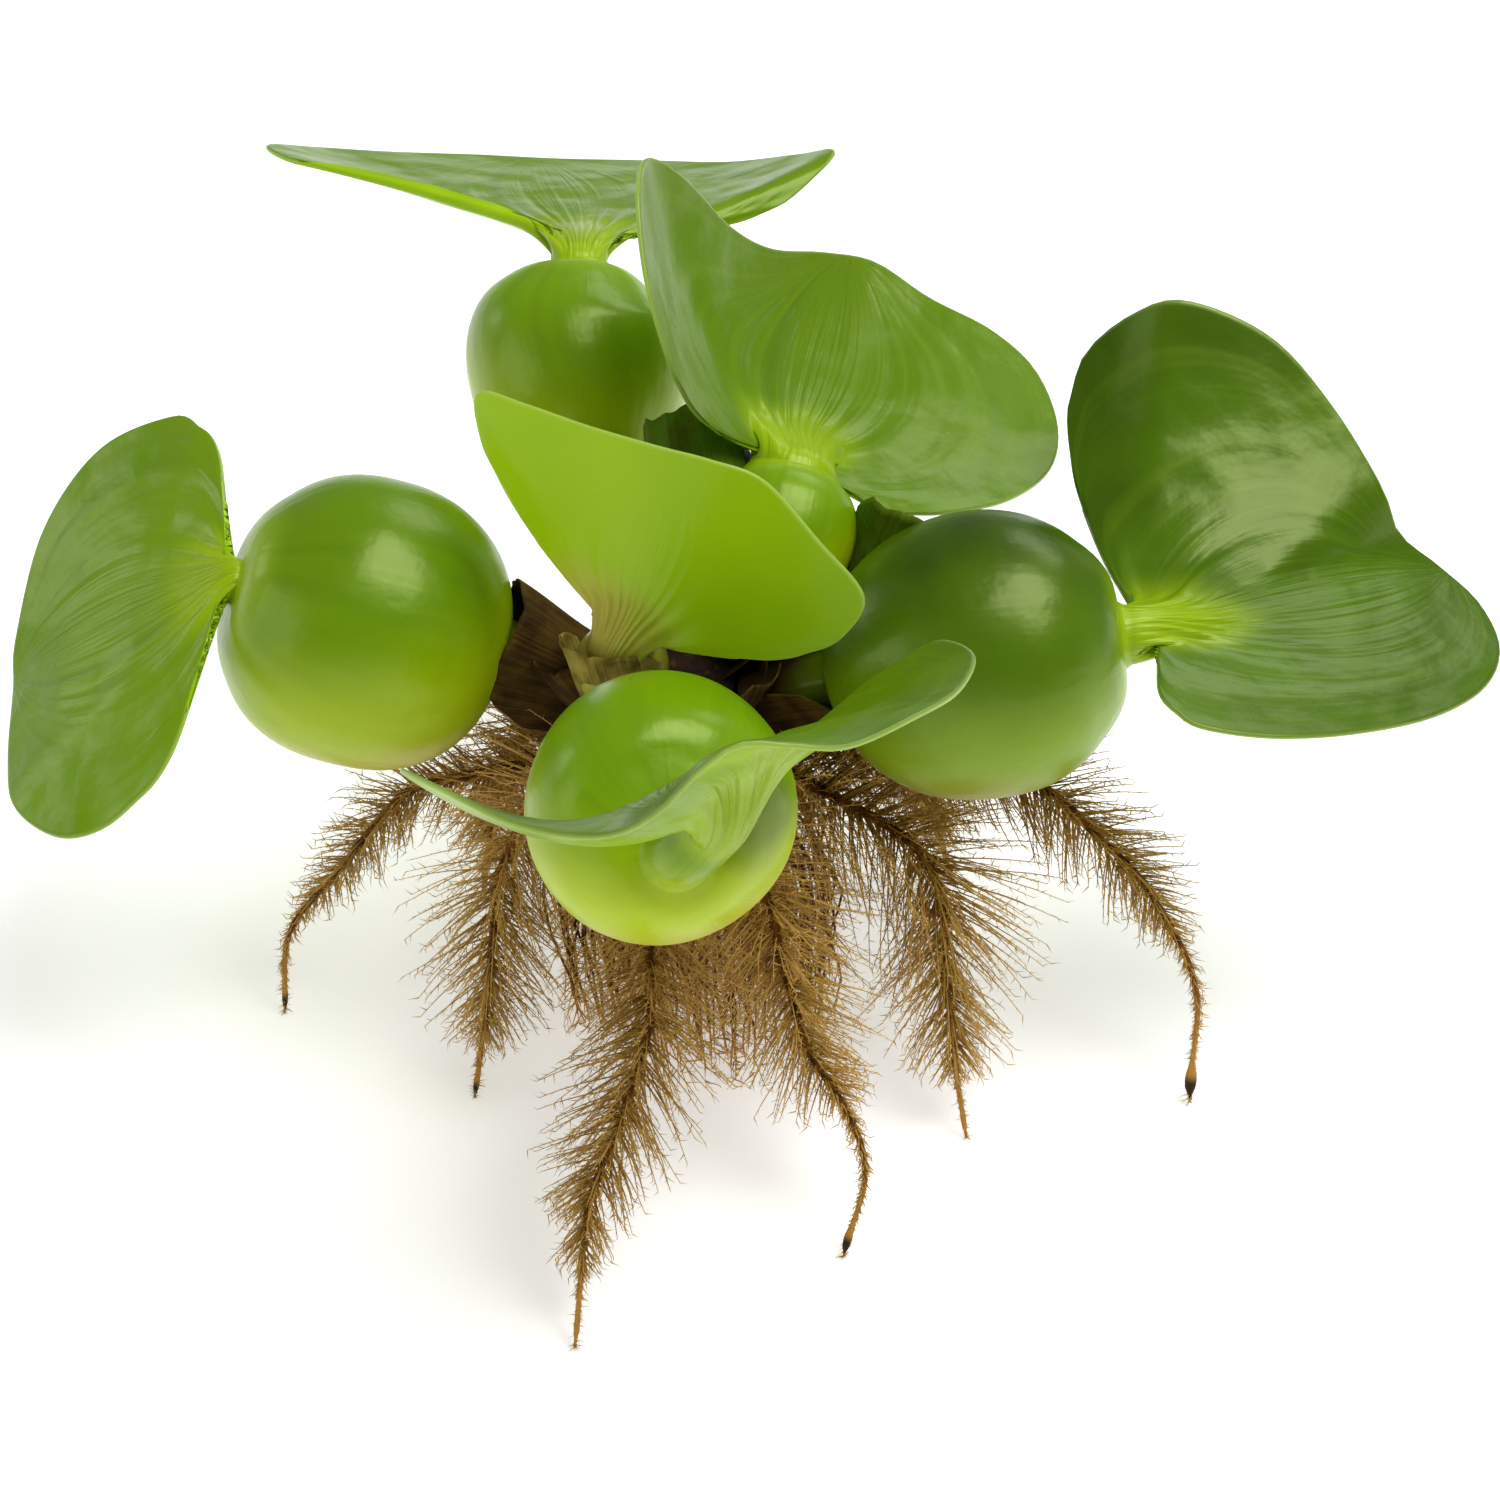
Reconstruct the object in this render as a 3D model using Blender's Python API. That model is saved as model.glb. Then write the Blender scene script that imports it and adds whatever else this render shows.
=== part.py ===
"""A small water hyacinth lifted out of the water and stood on its roots.

Six leaves grow from one short crown. Four of them have a round, air-filled float
for a stalk, and two young leaves in the middle stand on plain stalks. Each stalk
ends in a thin neck, and the neck opens into a shiny kidney-shaped blade. Below
the crown hang a mat of fine roots, with a flat foot that carries the plant, and
longer feathery roots that spread round it.

Lengths are in millimetres here and become metres in the mesh. The middle of the
mat's flat foot is the origin. X runs to the right, Y away from the viewer and Z
up, with the surface that the plant stands on at Z = 0.
"""

from math import cos, pi, sin

import bmesh
import bpy
import numpy as np

MM = 0.001

# Sizes shared by every leaf
EDGE_THICKNESS = 1.2
MIDDLE_THICKNESS = 2.6
JOINT_GAP = 0.3
NECK_SPREAD = 0.22
BLADE_RINGS = (0.22, 0.42, 0.62, 0.82, 1.0)
SPREAD_RINGS = (0.35, 0.7)
BLADE_COLUMNS = 16
STALK_SIDES = 16
STALK_STEPS = 12

# The crown, a stubby stem that every leaf and root grows from
CROWN_CENTRE = (-3.0, 1.0)
CROWN_PROFILE = (
    (0.0, 39.6), (4.6, 40.0), (7.0, 43.0), (7.4, 49.0), (6.8, 53.5), (4.2, 56.6), (0.0, 57.2),
)
CROWN_SIDES = 14

# The mat of fine roots, from its foot up to the crown
MAT_CENTRE = (0.0, 0.0)
MAT_PROFILE = (
    (0.0, 0.0), (16.0, 0.0), (18.5, 5.0), (20.5, 13.0),
    (20.5, 22.0), (16.5, 30.0), (9.0, 36.5), (0.0, 39.2),
)
MAT_SIDES = 18

# The long roots: where each one runs, and the radius that its side roots reach
ROOT_SIDES = 8
ROOT_STEPS = 11
ROOT_START_RADIUS = 1.8
ROOT_TIP_RADIUS = 0.8
ROOT_BARE_FROM = 0.93
ROOTS = {
    "far_left": (
        6.5, ((-11.8, 1.5, 43), (-26, 1.5, 38), (-40, 1, 34.5), (-49.6, 0, 22), (-56.7, -1.5, 13),
              (-58, -3.6, 0)),
    ),
    "front_left": (
        9.5, ((-11, -3.5, 43), (-19, -7.5, 41), (-26.5, -13, 34), (-28.6, -18, 17), (-31, -22, 0)),
    ),
    "front": (9.5, ((-6.5, -7.8, 43), (-7, -21, 36), (-7, -39, 26), (-14, -59, 14), (-16, -71.5, 0))),
    "front_right": (
        8.0, ((1, -7.8, 43), (7.5, -21, 36), (13, -37, 22), (20.7, -49, 13.5), (18, -54.4, 0)),
    ),
    "right": (10.5, ((5.6, -3.6, 43), (18, -10, 41), (30, -15, 33), (32.5, -24, 14), (34.7, -30.4, 0))),
    "far_right": (
        7.0, ((6, 3, 43), (20, 4, 41), (35, 1, 39.5), (48, -7, 38), (64, -18.5, 21), (65, -23, 0)),
    ),
    "back_left": (8.0, ((-10.2, 7, 43), (-22, 13, 39), (-29, 19, 22), (-32, 24, 0))),
    "back": (8.0, ((-6, 9.6, 43), (-10, 21, 37), (-14, 29, 20), (-16, 34, 0))),
    "back_right": (8.0, ((1, 9.4, 43), (6, 22, 37), (10, 32, 20), (12, 38, 0))),
    "right_back": (8.0, ((4.8, 6.6, 43), (17, 15, 38), (29, 22, 22), (35, 27, 0))),
}


class Leaf:
    """The sizes of one leaf.

    path is the middle line of the stalk, from the crown to the neck. At the path's
    point number swell_at the stalk swells to the radius swell, and lengths are how
    far the swelling runs towards the crown and towards the neck. junction is where
    the neck meets the blade. along points from there to the blade's tip, and across
    to the blade's second side. Each margin row is (along, across, rise halfway out,
    rise at the edge), and the rows run round the blade's edge from one side of the
    neck to the other.
    """

    def __init__(self, path, radii, swell, swell_at, lengths, junction, along, across, margin):
        self.path = path
        self.base_radius, self.neck_radius = radii
        self.swell = swell
        self.swell_at = swell_at
        self.lengths = lengths
        self.junction = np.array(junction, float)
        self.margin = margin
        self.along = unit(along)
        self.across = unit(np.array(across, float) - np.dot(across, self.along) * self.along)
        self.normal = np.cross(self.along, self.across)


def unit(vector):
    """Return the vector at length 1."""
    vector = np.array(vector, float)
    return vector / np.linalg.norm(vector)


LEAVES = {
    "left": Leaf(
        path=((-12.9, 2.2, 50), (-23, 2.4, 55), (-45, 2, 61.2), (-61, 0.8, 68.2)),
        radii=(4.6, 3.0), swell=19.4, swell_at=2, lengths=(20.6, 19.2),
        junction=(-61.5, 1, 69.3), along=(-32, 0, -22), across=(-14, -50, -30),
        margin=((-1.5, -24, 0, 0), (5, -32, 0, 0), (17.5, -34.3, 0, 0), (29, -27.5, 0, -1),
                (37, -14, -0.5, -3), (39, -7, -0.5, -4), (39.7, 6.5, -0.5, -2), (38, 17, 0, 0),
                (32, 25.5, 0, 0), (25, 28.4, 0, 0), (14, 26, 0, 0)),
    ),
    "right": Leaf(
        path=((6.8, -1, 50), (17, -4, 55.5), (36, -9, 63.2), (54.6, -9, 66.4)),
        radii=(4.6, 3.9), swell=18.5, swell_at=2, lengths=(20.3, 18.2),
        junction=(58.5, -8, 66.5), along=(33, 22, -4), across=(-38, 68, 10),
        margin=((-9.2, -12, -0.1, 0), (-6.4, -17.8, -0.3, -1), (2, -22, -0.4, -2), (13.5, -24.5, -0.7, -3),
                (27, -25, -0.9, -4), (39, -22, -1, -5), (46.7, -16.3, -0.8, -4.7), (49.8, -8, -0.4, -4),
                (47.6, -1.1, -0.1, -2.4), (42.5, 2.8, 1.1, 1.6), (39.8, 5.7, 2.5, 9.2),
                (37.2, 16.2, 3.8, 15.9), (31.8, 25.2, 4, 22.2), (23.2, 33.6, 2.7, 24.4),
                (18.8, 38.4, 1.4, 19.9), (15.4, 41.3, 0.1, 12.9), (10.7, 37.8, -2.1, 4.4)),
    ),
    "back": Leaf(
        path=((-6.8, 11.8, 51), (-10.5, 25, 63.5), (-17.5, 43, 76.5), (-17.4, 52.5, 86)),
        radii=(4.4, 4.0), swell=15.1, swell_at=2, lengths=(17.0, 14.8),
        junction=(-17, 56, 88), along=(0, 0.974, -0.225), across=(-1, 0, 0),
        margin=((8, -21.5, 0, 0), (12, -29, 0.8, 3), (18, -35, 2, 7.8), (27, -30, 1.2, 5),
                (36, -20, 0.4, 1.5), (42.5, -8, 0, 0), (43.5, 5, 0, 0), (42, 17, 0.2, 1),
                (36, 29, 1, 3), (29, 39, 2, 5.5), (20, 45, 4, 8.2), (13, 41, 4.6, 8), (11, 30, 4.3, 7)),
    ),
    "front": Leaf(
        path=((-2, -9, 50), (-3.5, -20, 54), (-5.1, -39, 60.2), (-3.6, -51, 63.2), (-1.6, -55.6, 66.5),
              (1.4, -57.3, 71)),
        radii=(4.6, 4.2), swell=16.9, swell_at=2, lengths=(18.5, 15.4),
        junction=(5.6, -58, 77.6), along=(0, -0.82, 0.57), across=(0.978, 0.12, 0.17),
        margin=((-3.9, -25.6, -2, -0.5), (-1.9, -34.6, -3.2, 5.5), (9.1, -39.1, -2.5, 10.2),
                (21.1, -34.2, -2, 7), (31.1, -25.7, -0.6, 1), (37.1, -16.9, 1.6, -2),
                (41.1, -10.4, 2.7, -0.7), (43.1, -4.5, 3.8, 3.1), (43.1, 0.4, 3.8, 4.9),
                (42.1, 5.7, 4.2, 3.6), (39.1, 12.1, 4.8, 2.1), (31.1, 20.7, 4.9, 3.9),
                (23.1, 26, 4.9, 5.7), (11.1, 29.1, 5, 9.3), (2.1, 26, 5, 11.9), (-5.9, 17.9, 4.6, 9.5)),
    ),
    "middle_front": Leaf(
        path=((-9.4, -6.4, 57.2), (-10.6, -8.1, 61), (-10.6, -9.4, 65)),
        radii=(4.8, 4.4), swell=5.6, swell_at=1, lengths=(6.0, 6.0),
        junction=(-9.5, -10, 67), along=(8, -16, 41), across=(51.6, -21.7, -18.1),
        margin=((8, -22, 1.2, 5), (13.5, -27.7, 1.7, 7), (20.3, -29.8, 2, 8), (24, -23, 1.7, 7),
                (28, -14, 1.3, 5.5), (33, -4, 1, 4), (35.5, 3, 1, 4), (35.5, 10, 1.2, 5),
                (28.5, 18.7, 1.5, 6), (21.4, 26.1, 1.8, 7), (14.2, 25.4, 1.2, 5), (7, 20, 0.7, 3)),
    ),
    "middle_back": Leaf(
        path=((0.8, 3.7, 58.4), (4, 4.7, 62.5), (9.7, 7, 71.5), (11.6, 13, 77)),
        radii=(4.4, 5.8), swell=9.2, swell_at=2, lengths=(14.0, 12.0),
        junction=(11.2, 16, 78), along=(13, 42, -2), across=(-52, 25, 35),
        margin=((1, -15, 0.2, 0.8), (7.4, -21.9, 0.8, 3), (15.8, -27.8, 1.2, 5), (26.6, -30.6, 1.5, 6),
                (35.8, -28.4, 1.7, 7), (42.4, -21.8, 2, 8), (44, -13.6, 2, 8), (41, -4, 2, 8),
                (40, 5, 2, 8), (34, 11.5, 2, 8), (24.6, 17.9, 2.2, 9), (18, 24.5, 3, 12),
                (12.5, 32.5, 4.3, 17), (6, 38, 5, 20), (-3, 36, 5, 20), (-10.5, 29, 4, 15.5),
                (-14.4, 20.5, 2.5, 10), (-13.5, 14, 1.2, 5)),
    ),
}


def clear_scene():
    """Remove every object that the file opened with."""
    for item in list(bpy.data.objects):
        bpy.data.objects.remove(item, do_unlink=True)


def surface(name, colour, roughness):
    """Return a plain shiny or dull material."""
    material = bpy.data.materials.new(name)
    material.use_nodes = True
    shader = material.node_tree.nodes["Principled BSDF"]
    shader.inputs["Base Color"].default_value = (*colour, 1.0)
    shader.inputs["Roughness"].default_value = roughness
    shader.inputs["Metallic"].default_value = 0.0
    return material


def curve_through(rows, count):
    """Return count points, evenly spaced, on a smooth curve through the rows."""
    rows = np.array(rows, float)
    padded = np.vstack((2 * rows[0] - rows[1], rows, 2 * rows[-1] - rows[-2]))
    fine = []
    for k in range(len(rows) - 1):
        a, b, c, d = padded[k : k + 4]
        square = 2 * a - 5 * b + 4 * c - d
        cube = 3 * b - a - 3 * c + d
        for t in np.linspace(0, 1, 24, endpoint=False):
            fine.append(0.5 * (2 * b + (c - a) * t + square * t**2 + cube * t**3))
    fine = np.vstack((fine, rows[-1]))
    steps = np.linalg.norm(np.diff(fine[:, :3], axis=0), axis=1)
    travelled = np.concatenate(([0], np.cumsum(steps)))
    wanted = np.linspace(0, travelled[-1], count)
    return np.column_stack([np.interp(wanted, travelled, column) for column in fine.T])


def tangents_of(points):
    """Return the unit direction of travel at each point."""
    return np.array([unit(step) for step in np.gradient(points, axis=0)])


def tube_rings(points, radii, sides, last_side):
    """Return rings round the points, turned so that the last starts at last_side."""
    directions = tangents_of(points)
    side = np.array(last_side, float)
    rings = []
    for point, direction, radius in zip(points[::-1], directions[::-1], radii[::-1]):
        side = unit(side - np.dot(side, direction) * direction)
        up = np.cross(side, direction)
        turns = [2 * pi * k / sides for k in range(sides)]
        rings.append([point + radius * (cos(turn) * side + sin(turn) * up) for turn in turns])
    return rings[::-1]


def joined_loops(mesh, rings):
    """Put the rings into the mesh, join each one to the next, and return their loops."""
    loops = [[mesh.verts.new(np.array(point) * MM) for point in ring] for ring in rings]
    for loop, following in zip(loops, loops[1:]):
        for k in range(len(loop)):
            n = (k + 1) % len(loop)
            mesh.faces.new((loop[k], loop[n], following[n], following[k]))
    return loops


def make_object(name, rings, material, start_point=None, end_point=None):
    """Join the rings into one closed body, with a point or a flat cap at each end."""
    mesh = bmesh.new()
    loops = joined_loops(mesh, rings)
    for loop, point in ((loops[0], start_point), (loops[-1], end_point)):
        if point is None:
            mesh.faces.new(loop)
            continue
        centre = mesh.verts.new(np.array(point) * MM)
        for k in range(len(loop)):
            mesh.faces.new((loop[k], loop[(k + 1) % len(loop)], centre))
    return finish_object(name, mesh, material)


def finish_object(name, mesh, material):
    """Turn the faces outward, and put the mesh into the scene as an object."""
    bmesh.ops.triangulate(mesh, faces=mesh.faces[:])
    bmesh.ops.recalc_face_normals(mesh, faces=mesh.faces[:])
    data = bpy.data.meshes.new(name)
    mesh.to_mesh(data)
    mesh.free()
    data.materials.append(material)
    data.shade_smooth()
    data.set_sharp_from_angle(angle=0.9)
    item = bpy.data.objects.new(name, data)
    bpy.context.scene.collection.objects.link(item)
    return item


def turned(name, profile, centre, sides, material):
    """Make a body by turning a profile of (radius, height) round an upright axis."""
    rings = []
    for radius, height in profile[1:-1]:
        turns = [2 * pi * k / sides for k in range(sides)]
        rings.append([(centre[0] + radius * cos(t), centre[1] + radius * sin(t), height) for t in turns])
    bottom = (centre[0], centre[1], profile[0][1])
    top = (centre[0], centre[1], profile[-1][1])
    return make_object(name, rings, material, start_point=bottom, end_point=top)


def stalk_radii(leaf, points):
    """Return the stalk's radius at each point, swollen round the float's middle."""
    steps = np.linalg.norm(np.diff(points, axis=0), axis=1)
    travelled = np.concatenate(([0], np.cumsum(steps)))
    middle = travelled[np.argmin(np.linalg.norm(points - np.array(leaf.path[leaf.swell_at]), axis=1))]
    length = np.where(travelled < middle, *leaf.lengths)
    away = np.clip((travelled - middle) / length, -1, 1)
    bulb = leaf.swell * np.sqrt(1 - away**2)
    plain = np.interp(travelled, (0, travelled[-1]), (leaf.base_radius, leaf.neck_radius))
    return (bulb**4 + plain**4) ** 0.25


def make_stalk(name, leaf, material):
    """Make a leaf's stalk or float, from the crown to the neck."""
    fine = curve_through(leaf.path, 120)
    radii = stalk_radii(leaf, fine)
    # rings sit closer together where the radius changes fast
    change = np.hypot(np.abs(np.gradient(radii)), np.linalg.norm(np.gradient(fine, axis=0), axis=1))
    travelled = np.concatenate(([0], np.cumsum(change[1:])))
    wanted = np.linspace(0, travelled[-1], STALK_STEPS)
    picks = [int(np.argmin(np.abs(travelled - w))) for w in wanted]
    rings = tube_rings(fine, radii, STALK_SIDES, leaf.across)
    return make_object(name, [rings[k] for k in picks], material)


def blade_point(leaf, row, out, lift):
    """Return the point at the share out of the way to the margin row, raised by lift."""
    along, across, halfway, edge = row
    rise = 4 * halfway * out * (1 - out) + edge * out * (2 * out - 1) + lift
    return leaf.junction + out * (along * leaf.along + across * leaf.across) + rise * leaf.normal


def blade_ring(leaf, margin, out):
    """Return one ring: along the underside from side to side, and back along the top."""
    half = 0.5 * (EDGE_THICKNESS + (MIDDLE_THICKNESS - EDGE_THICKNESS) * (1 - out) ** 1.5)
    last = len(margin) - 1
    under = [blade_point(leaf, row, out, 0 if k in (0, last) else -half) for k, row in enumerate(margin)]
    over = [blade_point(leaf, margin[k], out, half) for k in range(last - 1, 0, -1)]
    return under + over


def neck_ring(leaf, centre, direction, columns):
    """Return the ring at the neck's end, in the same order as the blade's rings."""
    side = unit(leaf.across - np.dot(leaf.across, direction) * direction)
    down = np.cross(side, direction)
    if np.dot(down, leaf.normal) > 0:
        down = -down
    ring = []
    for k in range(2 * columns):
        turn = -pi / 2 + pi * k / columns
        ring.append(centre + leaf.neck_radius * (sin(turn) * side + cos(turn) * down))
    return ring


def make_blade(name, leaf, material):
    """Make a leaf's blade, opening out of the neck."""
    fine = curve_through(leaf.path, 120)
    direction = tangents_of(fine)[-1]
    margin = curve_through(leaf.margin, BLADE_COLUMNS + 1)
    start = np.array(neck_ring(leaf, fine[-1] + JOINT_GAP * direction, direction, BLADE_COLUMNS))
    first = np.array(blade_ring(leaf, margin, NECK_SPREAD))
    second = np.array(blade_ring(leaf, margin, NECK_SPREAD * 1.2))
    reach = np.linalg.norm(first - start, axis=1, keepdims=True)
    leave = direction * reach
    arrive = (second - first) / np.linalg.norm(second - first, axis=1, keepdims=True) * reach
    rings = [start]
    for t in SPREAD_RINGS:
        weights = (2 * t**3 - 3 * t**2 + 1, t**3 - 2 * t**2 + t, 3 * t**2 - 2 * t**3, t**3 - t**2)
        rings.append(weights[0] * start + weights[1] * leave + weights[2] * first + weights[3] * arrive)
    rings += [blade_ring(leaf, margin, out) for out in BLADE_RINGS]

    mesh = bmesh.new()
    loops = joined_loops(mesh, rings)
    mesh.faces.new(loops[0])
    outer = loops[-1]
    for k in range(BLADE_COLUMNS):
        a, b = outer[k], outer[k + 1]
        c, d = outer[-k - 1], outer[-k]
        if k == 0:
            mesh.faces.new((a, b, c))
        elif k == BLADE_COLUMNS - 1:
            mesh.faces.new((a, b, d))
        else:
            mesh.faces.new((a, b, c, d))
    return finish_object(name, mesh, material)


def make_root(name, reach, path, material):
    """Make the outer form of one long root: thin at the crown, full, then a bare tip."""
    points = curve_through(path, ROOT_STEPS)
    radii = []
    for share in np.linspace(0, 1, ROOT_STEPS):
        fullness = sin(pi * min(share / ROOT_BARE_FROM, 1.0) ** 1.5)
        plain = ROOT_START_RADIUS + (ROOT_TIP_RADIUS - ROOT_START_RADIUS) * share
        radii.append(plain + (reach - plain) * fullness)
    rings = np.array(tube_rings(points, np.array(radii), ROOT_SIDES, (1, 0.2, 0)))
    # the tip bears on the surface, so that nothing of it is lower
    rings[-1, :, 2] -= rings[-1, :, 2].min()
    return make_object(name, rings, material)


def main():
    """Build the whole plant."""
    clear_scene()
    blade_green = surface("blade green", (0.10, 0.28, 0.01), 0.3)
    float_green = surface("float green", (0.16, 0.34, 0.01), 0.25)
    crown_brown = surface("crown brown", (0.10, 0.07, 0.02), 0.8)
    root_brown = surface("root brown", (0.22, 0.13, 0.05), 0.9)

    turned("crown", CROWN_PROFILE, CROWN_CENTRE, CROWN_SIDES, crown_brown)
    turned("fine_root_mat", MAT_PROFILE, MAT_CENTRE, MAT_SIDES, root_brown)
    for name, leaf in LEAVES.items():
        stalk = "stalk_" if name.startswith("middle") else "float_"
        make_stalk(stalk + name, leaf, float_green)
        make_blade("blade_" + name, leaf, blade_green)
    for name, (reach, path) in ROOTS.items():
        make_root("root_" + name, reach, path, root_brown)


main()
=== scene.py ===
"""A water hyacinth, lifted out of the water and stood on its roots."""

from math import cos, pi, radians, sin

import bpy
import numpy as np
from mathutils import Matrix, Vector, noise


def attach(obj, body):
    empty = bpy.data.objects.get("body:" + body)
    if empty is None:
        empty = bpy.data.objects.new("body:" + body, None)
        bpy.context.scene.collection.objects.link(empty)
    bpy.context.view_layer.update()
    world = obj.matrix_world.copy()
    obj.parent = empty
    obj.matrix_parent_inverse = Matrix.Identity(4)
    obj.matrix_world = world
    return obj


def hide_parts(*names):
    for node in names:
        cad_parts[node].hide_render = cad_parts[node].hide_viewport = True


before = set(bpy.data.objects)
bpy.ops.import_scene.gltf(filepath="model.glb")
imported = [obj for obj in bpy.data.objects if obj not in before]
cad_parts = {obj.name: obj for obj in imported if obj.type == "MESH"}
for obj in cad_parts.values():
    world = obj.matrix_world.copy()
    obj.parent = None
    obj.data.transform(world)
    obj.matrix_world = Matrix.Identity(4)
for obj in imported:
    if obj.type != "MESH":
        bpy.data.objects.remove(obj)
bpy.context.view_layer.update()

# The crown is the plant's short, thick stem, dark brown and woody, ringed by the scars of old leaves.
# Dry, papery sheaths of older leaves still wrap it and the stalks' feet. The crown and these sheaths are
# painted darker than their own brown, as painted shade of the hollow among the stalks. A tan, thin one
# stands at the foot of the young front leaf, painted lighter as painted light where the leaf above shades
# it, and two green ones of leaves to come stand behind.
MM = 0.001
CROWN_CENTRE = (-3.0, 1.0)
CROWN_OUTLINE = ((0.0, 39.0), (4.4, 39.4), (6.8, 42.5), (7.6, 47.0), (7.3, 51.5), (6.0, 55.0), (3.4, 57.4),
                 (0.0, 58.0))
CROWN_ROWS = 40
CROWN_SIDES = 56
CROWN_SCAR_DEPTH = 0.35
CROWN_LEAST_RADIUS = 0.3
SHEATH_ROWS = 24
SHEATH_COLUMNS = 48
SHEATH_THICKNESS = 0.22
LIT = 0.9
CROWN_SHEATHS = {
    # foot and top of the line that each wraps, turn and width in degrees, distance from it at foot and top
    "crown_left": ((-3, 1, 44), (-7, 0, 61), 195, 120, 7.8, 10.5),
    "crown_front": ((-3, 1, 44), (-3, -3, 59), 268, 120, 7.9, 9.4),
    "crown_front_right": ((-3, 1, 44), (1, -3, 62), 318, 110, 7.8, 10.0),
    "crown_right": ((-3, 1, 45), (-1, 1, 61), 15, 100, 7.7, 9.6),
    "crown_back_right": ((-3, 1, 45), (-3, 3, 61), 75, 100, 7.6, 9.6),
    "crown_back_left": ((-3, 1, 45), (-4, 3, 60), 138, 100, 7.6, 9.8),
    "left_float": ((-9, 2, 48), (-28, 2.4, 57.6), 0, 340, 5.4, 8.8),
    "right_float": ((3, 0, 48), (24, -6, 59.6), 0, 340, 5.4, 10.5),
    "front_float": ((-2.4, -5, 48), (-3.8, -23, 56), 0, 340, 5.4, 7.6),
    "back_float": ((-5.8, 8, 48), (-11.5, 27, 65), 0, 340, 5.2, 7.6),
    "old_left": ((-11, -2, 48), (-17.5, -4.5, 62.5), 240, 210, 4.5, 5.4),
    "young_front": ((-9, -5, 50), (-12.6, -8.4, 68), 238, 230, 5.6, 6.6),
    "bud_right": ((16, 3, 52), (27, 6, 77), 270, 300, 3.0, 5.5),
    "bud_back": ((4, 7, 57), (-3, 20, 84), 270, 350, 9.5, 5.5),
}


class Thread:
    """One output of a node, on which sums and products add the nodes that work them out."""

    def __init__(self, tree, socket=None):
        self.tree = tree
        self.socket = socket

    def feed(self, socket, value):
        """Join a thread to a socket, or set the socket to a plain value."""
        if isinstance(value, Thread):
            self.tree.links.new(value.socket, socket)
        elif isinstance(value, list):
            for each in value:
                self.tree.links.new(each.socket, socket)
        else:
            socket.default_value = value

    def node(self, kind, settings=None, inputs=None, output=0):
        """Add a node, with its settings set first and its sockets after, and return one output."""
        made = self.tree.nodes.new(kind)
        for name, value in (settings or {}).items():
            setattr(made, name, value)
        for name, value in (inputs or {}).items():
            self.feed(made.inputs[name], value)
        return Thread(self.tree, made.outputs[output])

    def beside(self, output):
        """Return another output of the same node."""
        return Thread(self.tree, self.socket.node.outputs[output])

    def maths(self, operation, *values):
        """Work on numbers."""
        return self.node("ShaderNodeMath", {"operation": operation}, dict(enumerate(values)))

    def vector(self, operation, *values):
        """Work on vectors, this one first."""
        return self.node("ShaderNodeVectorMath", {"operation": operation}, dict(enumerate((self, *values))))

    def mark(self, name):
        """Return a mark that the mesh carries, and its first part, which has the others beside it."""
        vector = self.node("ShaderNodeAttribute", {"attribute_name": name}, None, "Vector")
        return vector, vector.node("ShaderNodeSeparateXYZ", None, {"Vector": vector}, "X")

    def apart(self, spot):
        """Return how far this place is from a spot given in millimetres."""
        return self.vector("DISTANCE", tuple(MM * part for part in spot)).beside("Value")

    def between(self, low, high):
        """Rise smoothly from 0 at low to 1 at high."""
        return self.node("ShaderNodeMapRange", {"interpolation_type": "SMOOTHSTEP"},
                         {"Value": self, "From Min": low, "From Max": high})

    def colour(self, first, second):
        """Mix two colours, with this as the share of the second."""
        return self.node("ShaderNodeMix", {"data_type": "RGBA"}, {0: self, 6: first, 7: second}, output=2)

    def speckle(self, scale, detail=2.0, roughness=0.5, output="Fac"):
        """Read noise at this place."""
        return self.node("ShaderNodeTexNoise", None,
                         {"Vector": self, "Scale": scale, "Detail": detail, "Roughness": roughness}, output)

    def __add__(self, other):
        return self.maths("ADD", self, other)

    def __radd__(self, other):
        return self.maths("ADD", other, self)

    def __sub__(self, other):
        return self.maths("SUBTRACT", self, other)

    def __rsub__(self, other):
        return self.maths("SUBTRACT", other, self)

    def __mul__(self, other):
        return self.maths("MULTIPLY", self, other)

    def __rmul__(self, other):
        return self.maths("MULTIPLY", other, self)


def paint(red, green, blue, lit=LIT):
    """Return a colour, given as it looks under the lamp from 0 to 255, in the form that a shader takes."""
    linear = [((part / 255 + 0.055) / 1.055) ** 2.4 if part > 10 else part / 3295
              for part in (red, green, blue)]
    return (*(lit * part for part in linear), 1.0)


def finish_named(name):
    """Start a material, and return it with its shader and a thread of Object coordinates."""
    material = bpy.data.materials.new(name)
    material.use_nodes = True
    tree = material.node_tree
    return material, tree.nodes["Principled BSDF"], Thread(tree).node("ShaderNodeTexCoord", output="Object")


def piece_of(name, points, faces, material):
    """Put a smooth mesh into the scene from points in millimetres."""
    data = bpy.data.meshes.new(name)
    data.from_pydata([tuple(MM * float(part) for part in point) for point in points], [], faces)
    data.shade_smooth()
    data.materials.append(material)
    item = bpy.data.objects.new(name, data)
    bpy.context.scene.collection.objects.link(item)
    return item


def unit(vector):
    """Return the vector at length 1."""
    vector = np.array(vector, float)
    return vector / np.linalg.norm(vector)


def wavering(point, size):
    """Return smooth noise between -1 and 1 whose bumps are about size millimetres apart."""
    return noise.noise(Vector(point) / size)


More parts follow.
